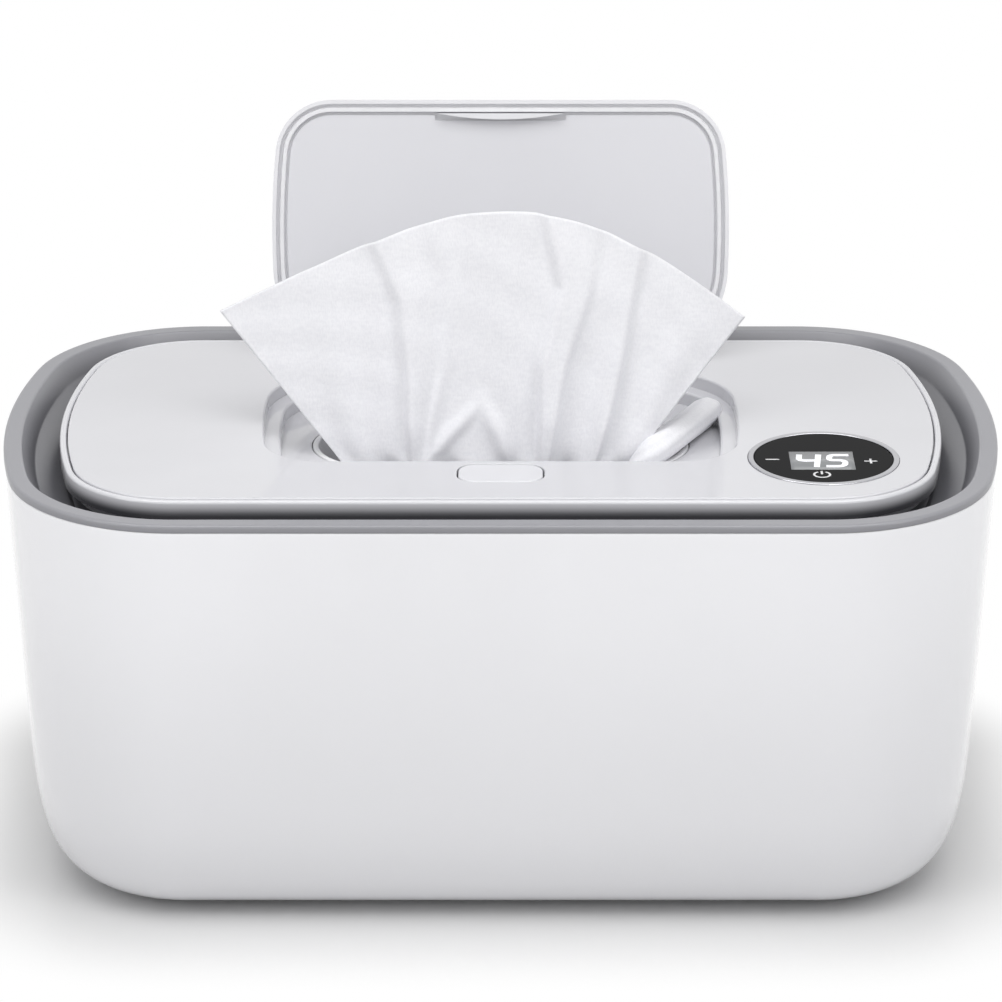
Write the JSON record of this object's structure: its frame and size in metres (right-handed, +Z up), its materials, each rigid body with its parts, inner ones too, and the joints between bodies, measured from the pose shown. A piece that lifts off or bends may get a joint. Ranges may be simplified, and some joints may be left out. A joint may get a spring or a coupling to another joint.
{
  "type": "baby wipe warmer",
  "caption": "Tabletop wipe warmer: white tub with grey rim, lift-off heated lid with a sprung flip cover, catch button and round touch display, and a wipe drawn through its mouth.",
  "frame": {"origin": "middle of the footprint, on the table under the rubber feet", "axes": "+X to the right as seen from the front, +Y to the back, +Z up"},
  "size_m": [0.25, 0.148, 0.1774],
  "materials": {
    "tub_white": "high gloss moulded white",
    "rim_grey": "satin grey moulding",
    "tank_grey": "satin moulding",
    "base_white": "fine texture",
    "foot_rubber": "matt",
    "screw_steel": "zinc plated",
    "socket_black": "moulded",
    "contact_brass": "plated",
    "lead_jacket": "pvc jacket",
    "lid_gloss": "high gloss pale grey",
    "tray_grey": "satin grey moulding",
    "seal_silicone": "soft silicone",
    "insert_white": "satin moulding",
    "plate_aluminium": "plain sheet",
    "film_amber": "polyimide film",
    "sensor_bead": "epoxy bead",
    "pin_steel": "drawn wire",
    "bezel_grey": "satin ring",
    "lens_black": "black gloss",
    "module_grey": "moulded",
    "board_green": "solder mask",
    "cover_gloss": "high gloss pale grey",
    "liner_satin": "satin pale grey",
    "seal_soft": "soft overmoulding",
    "button_gloss": "high gloss pale grey",
    "wipe_cloth": "damp non-woven"
  },
  "bodies": {
    "base": {"outer_shell": "tub_white", "rim_collar": "rim_grey", "inner_tank": "tank_grey", "base_cover": "base_white", "base_screws": "screw_steel", "rubber_feet": "foot_rubber", "dc_inlet": "socket_black", "inlet_contacts": "contact_brass", "inlet_leads": "lead_jacket", "contact_block": "socket_black", "contact_pins": "contact_brass"},
    "lid": {"lid_frame": "lid_gloss", "lid_top_panel": "lid_gloss", "lid_tray": "tray_grey", "lid_seal": "seal_silicone", "lid_screws": "screw_steel", "dispensing_insert": "insert_white", "heater_plate": "plate_aluminium", "heater_film": "film_amber", "thermal_cutout": "socket_black", "temperature_sensor": "sensor_bead", "hinge_pin": "pin_steel", "hinge_spring": "pin_steel", "display_bezel": "bezel_grey", "display_lens": "lens_black", "display_module": "module_grey", "control_board": "board_green", "board_screws": "screw_steel", "touch_springs": "pin_steel", "contact_pads": "contact_brass", "wipe_sheet": "wipe_cloth", "button_spring": "pin_steel"},
    "cover": {"flip_cover": "cover_gloss", "cover_seal": "seal_soft", "cover_liner": "liner_satin"},
    "button": {"latch_button": "button_gloss"}
  },
  "joints": [
    {"name": "lid_lift", "type": "slide", "parent": "base", "child": "lid", "axis": [0, 0, 1], "range_m": [0, 0.08]},
    {"name": "cover_hinge", "type": "hinge", "parent": "lid", "child": "cover", "pos_m": [0, 0.0388, 0.1089], "axis": [1, 0, 0], "range_deg": [0, 105], "stiffness_Nm_per_rad": 0.01, "springref_deg": -17.19, "deforming": ["wipe_sheet", "hinge_spring"]},
    {"name": "button_press", "type": "slide", "parent": "lid", "child": "button", "axis": [0, 0, -1], "range_m": [0, 0.0015], "stiffness_N_per_m": 300, "springref_m": -0.002, "deforming": ["button_spring"]}
  ]
}
